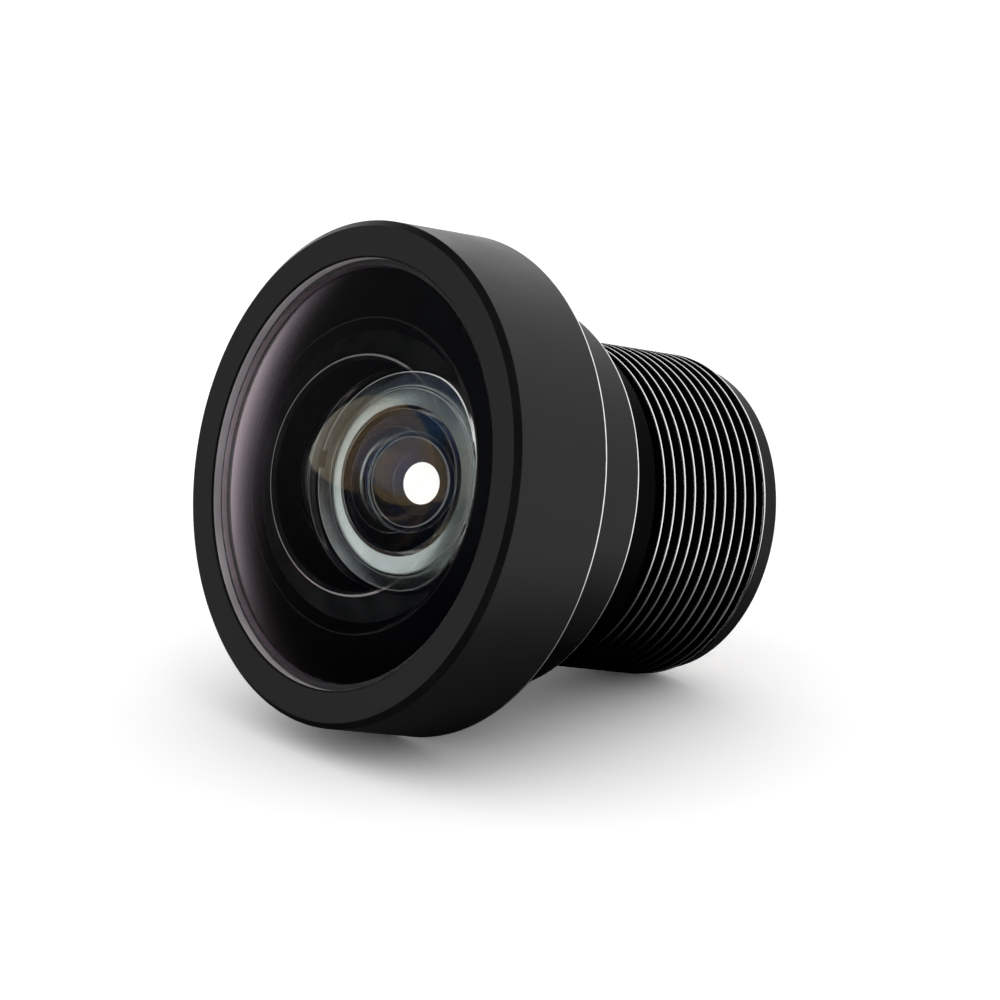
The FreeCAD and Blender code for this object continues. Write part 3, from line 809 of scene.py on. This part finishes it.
fifthLens = {
    "index": 1.92, "rearPole": 11.7928, "rearCurve": -5.32,
    "edge": stackEdge, "frontLand": fourthLens["rearLand"], "rearRim": 2.748, "rearLand": 11.0282,
    "frontSteps": 40, "rearSteps": 24, "film": 110,
}
lens = fifthLens  # its front fits the fourth lens's rear, with the cement between them
lens["frontPole"] = fourthLens["rearPole"] + fourthLens["cementGap"]
lens["frontCurve"] = fourthLens["rearCurve"] - fourthLens["cementGap"]
middle = lens["frontPole"] + lens["frontCurve"]
lens["frontRim"] = math.sqrt(lens["frontCurve"] ** 2 - (lens["frontLand"] - middle) ** 2)
piece = lensPiece("fifthLens", lens)
paintEdge(piece, 1, lens["edge"])
paintFaces(piece, 2, lambda across, along, normal: normal.z < 0 and across < lens["frontRim"])
fifthGlass = coatedGlass("fifthGlass", lens["index"], lens["film"])
fifthCement = coatedGlass("fifthCementedFace", lens["index"], 0.0, level=0.0)
layDown(piece, ["fifth_lens"], [fifthGlass, edgePaint, fifthCement])

sixthLens = {
    "index": 1.62, "frontPole": 11.8928, "rearPole": 13.0928, "frontCurve": 21.0, "rearCurve": -15.1,
    "edge": stackEdge, "frontRim": 3.08, "frontLand": 12.1199, "rearRim": 3.08, "rearLand": 12.7753,
    "frontSteps": 20, "rearSteps": 20, "film": 125,
}
lens = sixthLens
piece = lensPiece("sixthLens", lens)
paintEdge(piece, 1, lens["edge"])
sixthGlass = coatedGlass("sixthGlass", lens["index"], lens["film"])
layDown(piece, ["sixth_lens"], [sixthGlass, edgePaint])

seventhLens = {
    "index": 1.59, "frontPole": 13.1928, "rearPole": 14.4028, "frontCurve": 9.17, "rearCurve": 66.3,
    "edge": stackEdge, "frontRim": 3.28, "frontLand": 13.7996, "rearRim": 3.38, "rearLand": 14.489,
    "frontSteps": 24, "rearSteps": 16, "film": 120,
}
lens = seventhLens
piece = lensPiece("seventhLens", lens)
paintEdge(piece, 1, lens["edge"])
seventhGlass = coatedGlass("seventhGlass", lens["index"], lens["film"])
layDown(piece, ["seventh_lens"], [seventhGlass, edgePaint])

filterDisc = {
    "front": barrel["filterSeat"], "rear": 15.699, "edge": 4.50, "bevel": 0.04,
    "index": 1.52, "film": 230, "filmIndex": 1.68, "speckSize": 0.03,
}
disc = filterDisc
piece = turnedSolid("infraredFilter", (0, disc["front"]), [
    ((disc["edge"] - disc["bevel"], disc["front"]),),
    ((disc["edge"], disc["front"] + disc["bevel"]),),
    ((disc["edge"], disc["rear"] - disc["bevel"]),),
    ((disc["edge"] - disc["bevel"], disc["rear"]),),
    ((0, disc["rear"]),),
])
filterGlass = coatedGlass(
    "filterGlass", disc["index"], disc["film"], disc["filmIndex"], speckSize=disc["speckSize"]
)
layDown(piece, ["infrared_filter"], [filterGlass])
print("glass ground")

# Rings, foils and stop inside
innerRing = {
    "outer": 5.88, "mouth": 4.78, "throat": 4.43, "front": 2.70, "rear": 3.737, "edgeRound": 0.04,
    "slotWidth": 1.0, "slotDepth": 0.4,
    "toolSpan": 2.2,  # the length of the bar that cuts both slots, in radii
    "roughness": 0.3, "bareWidth": 0.055, "raggedness": 0.3,
}
ring = innerRing
piece = turnedPiece("innerRetainingRing", [
    (ring["mouth"], ring["front"], ring["edgeRound"]),
    (ring["outer"], ring["front"]),
    (ring["outer"], ring["rear"]),
    (ring["throat"], ring["rear"]),
])
bpy.ops.object.select_all(action="DESELECT")
bpy.ops.mesh.primitive_cube_add(size=1, location=(0, 0, ring["front"]))
slotTool = bpy.context.object
bpy.ops.object.mode_set(mode="EDIT")
bpy.ops.transform.resize(value=(
    ring["toolSpan"] * ring["outer"], ring["slotWidth"], 2 * ring["slotDepth"]))
bpy.ops.object.mode_set(mode="OBJECT")
cutAway(piece, slotTool, "spannerSlots")
paintFaces(piece, 1, lambda across, along, normal: (
    ring["throat"] - drawing["hair"] < across < ring["mouth"]
    and ring["front"] + ring["edgeRound"] < along < ring["rear"] - drawing["hair"]))
ringMetal = blackMetal(
    "ringMetal", edges=[(ring["mouth"], ring["front"], ring["bareWidth"], ring["raggedness"])],
    roughness=ring["roughness"],
)
layDown(piece, ["inner_retaining_ring"], [ringMetal, brightMetal])

stopSpacer = {
    "outer": stackEdge, "bore": 2.88, "throat": 1.90, "front": thirdLens["rearLand"], "rear": 9.1172,
    "groove": 0.12, "grooveStep": 0.24, "grooves": 4,
    "roughness": 0.35, "bareWidth": 0.05, "raggedness": 0.3,
}
ring = stopSpacer
coneFront = ring["rear"] - (ring["bore"] - ring["throat"])
outline = [
    (ring["bore"], ring["front"]), (ring["outer"], ring["front"]), (ring["outer"], ring["rear"]),
    (ring["throat"], ring["rear"]), (ring["bore"], coneFront),
]
for index in range(ring["grooves"]):
    top = coneFront - index * ring["grooveStep"]
    outline.append((ring["bore"] + ring["groove"], top - ring["grooveStep"] / 2))
    outline.append((ring["bore"], top - ring["grooveStep"]))
piece = turnedPiece("stopSpacer", outline)
stopMetal = blackMetal("stopMetal", edges=[
    (ring["bore"], ring["front"], ring["bareWidth"], ring["raggedness"]),
    (ring["throat"], ring["rear"], ring["bareWidth"], ring["raggedness"]),
], roughness=ring["roughness"])
layDown(piece, ["stop_spacer"], [stopMetal])

foil = {"rounding": 0.01, "slot": "foil_film", "material": foilFilm}
spacer = {"rounding": 0.04, "slot": "inner_metal", "material": innerMetal}
middleFoilRear = 11.0782
plainRings = {
    "frontGlareFoil": {
        **foil, "node": "front_glare_foil", "outer": 5.38, "inner": 4.53,
        "front": innerRing["rear"], "rear": 3.786,
    },
    "secondSpacer": {
        **spacer, "node": "second_spacer", "outer": 4.58, "inner": 3.20, "material": spacerMetal,
        "front": secondLens["rearLand"], "rear": thirdLens["frontLand"],
    },
    "apertureStop": {
        **foil, "node": "aperture_stop", "outer": stackEdge, "inner": 1.25,
        "front": stopSpacer["rear"], "rear": fourthLens["frontLand"],
    },
    "fourthHolder": {
        **spacer, "node": "fourth_holder", "outer": stackEdge, "inner": 2.6186, "rounding": 0.03,
        "front": fourthLens["frontLand"], "rear": fourthLens["rearLand"],
    },
    "middleGlareFoil": {
        **foil, "node": "middle_glare_foil", "outer": stackEdge, "inner": 2.898,
        "front": fifthLens["rearLand"], "rear": middleFoilRear,
    },
    "fifthSpacer": {
        **spacer, "node": "fifth_spacer", "outer": stackEdge, "inner": 3.23,
        "front": middleFoilRear, "rear": sixthLens["frontLand"],
    },
    "sixthSpacer": {
        **spacer, "node": "sixth_spacer", "outer": stackEdge, "inner": 3.43,
        "front": sixthLens["rearLand"], "rear": seventhLens["frontLand"],
    },
    "rearGlareFoil": {
        **foil, "node": "rear_glare_foil", "outer": stackEdge, "inner": 3.23,
        "front": seventhLens["rearLand"], "rear": barrel["lipFront"],
    },
}
seatGap = 0.003  # so that touching faces don't coincide
thinHolding = 0.004  # these pieces are too thin for the usual stretch beside a rounding
for name, ring in plainRings.items():
    front = ring["front"] + seatGap
    rear = ring["rear"] - seatGap
    piece = turnedPiece(name, [
        (ring["inner"], front, ring["rounding"]),
        (ring["outer"], front),
        (ring["outer"], rear),
        (ring["inner"], rear, ring["rounding"]),
    ], steps=160, holding=thinHolding)
    layDown(piece, [ring["node"]], [ring["material"]])

sealRing = {
    "middle": 7.21, "flat": 0.4, "halfWidth": 0.42, "rounding": 0.2,
    "front": barrel["glassSeat"], "rear": barrel["sealRear"],
}
ring = sealRing
halfFlat = ring["flat"] / 2
centre = (ring["front"] + ring["rear"]) / 2
piece = turnedPiece("sealRing", [
    (ring["middle"] - halfFlat, ring["front"], ring["rounding"]),
    (ring["middle"] + halfFlat, ring["front"], ring["rounding"]),
    (ring["middle"] + ring["halfWidth"], centre, ring["rounding"]),
    (ring["middle"] + halfFlat, ring["rear"], ring["rounding"]),
    (ring["middle"] - halfFlat, ring["rear"], ring["rounding"]),
    (ring["middle"] - ring["halfWidth"], centre, ring["rounding"]),
], steps=128, holding=thinHolding)
layDown(piece, ["seal_ring"], [sealRubber])
print("inner rings ready")

# Floor, light and camera. Levels are shares of white, and distances are in metres here.
studio = {
    "floorSize": 4.0,
    "floorColour": 0.80,
    "floorSeen": 1.25,  # how pale the floor looks to the camera before it clips to white
    "light": 0.95,
    "frontDark": -0.50,  # where mirrored surroundings are wholly dark, along Y
    "backBright": 0.22,  # and where they are wholly bright
    "dimAbove": 0.7,  # how far height takes the brightness away again
    "mirrored": 1.2,  # the level of the bright side
    "frontLevel": 0.02,  # and of the dark side
    "glassPlace": (0, -0.0075, 0.002),  # what the floor's mirrored level is reckoned from
    # the mirrored floor near the lens is darkened by distance alone, a painted shadow of the lens
    "shadeStart": 0.009,  # the lens shades the mirrored floor wholly up to here
    "shadeEnd": 0.026,  # and not at all from here on
    "behindStart": 0.006,  # the floor from here on looks white through the glass
    "roomBehind": 0.5,  # so do the surroundings, from this share of the direction along Y
    "rearGlow": 1.6,
    "photographer": (0.749, -0.601, 0.278),  # the direction that looks dark through the glass
    "darkStart": 0.5,  # how near to it the surroundings start to darken, as a cosine
    "darkFull": 0.85,
}


def mirroredLevel(tree, direction):
    # what polished surfaces mirror: a pale room behind the lens and a dim one in front of it and above
    parts = vectorParts(tree, direction)
    height = mathNode(tree, "MAXIMUM", parts[2], 0.0)
    depth = mathNode(tree, "MULTIPLY_ADD", height, -studio["dimAbove"], parts[1])
    bright = rangeNode(tree, depth, studio["frontDark"], studio["backBright"])
    bright = mathNode(tree, "MULTIPLY", bright, bright)
    return mathNode(tree, "MULTIPLY_ADD", bright, studio["mirrored"], studio["frontLevel"])


def paleFloor():
    # a matt floor that keeps the shadow; to mirrors and through glass it glows by the studio's levels
    material = bpy.data.materials.new("paleFloor")
    material.use_nodes = True
    tree = material.node_tree
    tree.nodes.remove(tree.nodes["Principled BSDF"])
    path = tree.nodes.new("ShaderNodeLightPath").outputs
    place = tree.nodes.new("ShaderNodeNewGeometry").outputs["Position"]
    matt = tree.nodes.new("ShaderNodeBsdfDiffuse")
    extra = studio["floorSeen"] - studio["floorColour"]
    level = mathNode(tree, "MULTIPLY_ADD", path["Is Camera Ray"], extra, studio["floorColour"])
    tree.links.new(level, matt.inputs["Color"])
    aim = vectorNode(tree, "NORMALIZE", vectorNode(tree, "SUBTRACT", place, studio["glassPlace"]))
    reach = vectorNode(tree, "LENGTH", place)
    # as seen in mirrors the floor is darkened near the lens by distance, a painted shadow
    shade = rangeNode(tree, reach, studio["shadeStart"], studio["shadeEnd"])
    mirrored = mathNode(tree, "MULTIPLY", mirroredLevel(tree, aim), shade)
    behind = mathNode(tree, "GREATER_THAN", vectorParts(tree, place)[1], studio["behindStart"])
    behind = mathNode(tree, "MULTIPLY", path["Is Transmission Ray"], behind)
    strength = mathNode(tree, "MAXIMUM", mirrored, mathNode(tree, "MULTIPLY", behind, studio["rearGlow"]))
    glow = tree.nodes.new("ShaderNodeEmission")
    tree.links.new(strength, glow.inputs["Strength"])
    pick = tree.nodes.new("ShaderNodeMixShader")
    tree.links.new(mathNode(tree, "MAXIMUM", path["Is Glossy Ray"], behind), pick.inputs[0])
    tree.links.new(matt.outputs[0], pick.inputs[1])
    tree.links.new(glow.outputs[0], pick.inputs[2])
    tree.links.new(pick.outputs[0], tree.nodes["Material Output"].inputs["Surface"])
    return material


def softTent():
    # plain light all round, white to the camera; mirrors and glass see it by the studio's levels
    world = bpy.data.worlds.new("softTent")
    world.use_nodes = True
    tree = world.node_tree
    background = tree.nodes["Background"]
    path = tree.nodes.new("ShaderNodeLightPath").outputs
    direction = tree.nodes.new("ShaderNodeTexCoord").outputs["Generated"]
    toward = vectorNode(tree, "DOT_PRODUCT", direction, studio["photographer"])
    through = rangeNode(
        tree, toward, studio["darkStart"], studio["darkFull"], 1.0, studio["frontLevel"]
    )
    behind = mathNode(tree, "GREATER_THAN", vectorParts(tree, direction)[1], studio["roomBehind"])
    behind = mathNode(tree, "MULTIPLY", behind, studio["rearGlow"])
    through = mathNode(tree, "MAXIMUM", through, behind)
    camera, glossy, refracted = path["Is Camera Ray"], path["Is Glossy Ray"], path["Is Transmission Ray"]
    special = mathNode(tree, "MAXIMUM", camera, mathNode(tree, "MAXIMUM", glossy, refracted))
    plain = mathNode(tree, "SUBTRACT", 1.0, special)
    level = mathNode(tree, "MULTIPLY_ADD", plain, studio["light"], camera)
    level = mathNode(tree, "MULTIPLY_ADD", glossy, mirroredLevel(tree, direction), level)
    level = mathNode(tree, "MULTIPLY_ADD", refracted, through, level)
    tree.links.new(level, background.inputs["Strength"])
    background.inputs["Color"].default_value = (1, 1, 1, 1)
    return world


bpy.ops.object.select_all(action="DESELECT")
bpy.ops.mesh.primitive_plane_add(size=studio["floorSize"], location=(0, 0, lying["floorLevel"] * mm))
floor = bpy.context.object
floor.name = "floor"
floor.data.materials.append(paleFloor())

scene = bpy.context.scene
scene.world = softTent()

view = {
    "place": (140.207, -112.878, 51.959),  # in millimetres
    "azimuth": 51.2418, "elevation": 16.1608,
    "lens": 185.52, "sensor": 36,
    "nearest": 0.01, "farthest": 50,  # in metres
}
camera = bpy.data.objects.new("camera", bpy.data.cameras.new("camera"))
scene.collection.objects.link(camera)
camera.location = [mm * value for value in view["place"]]
camera.rotation_euler = (math.radians(90 - view["elevation"]), 0, math.radians(view["azimuth"]))
camera.data.sensor_width = view["sensor"]
camera.data.lens = view["lens"]
camera.data.clip_start = view["nearest"]
camera.data.clip_end = view["farthest"]
bpy.context.scene.camera = camera

scene.view_settings.view_transform = "Standard"
scene.cycles.max_bounces = 40
scene.cycles.transmission_bounces = 32
scene.cycles.glossy_bounces = 24
scene.cycles.diffuse_bounces = 4
scene.cycles.blur_glossy = 0.0
scene.cycles.use_denoising = True
print("studio ready")
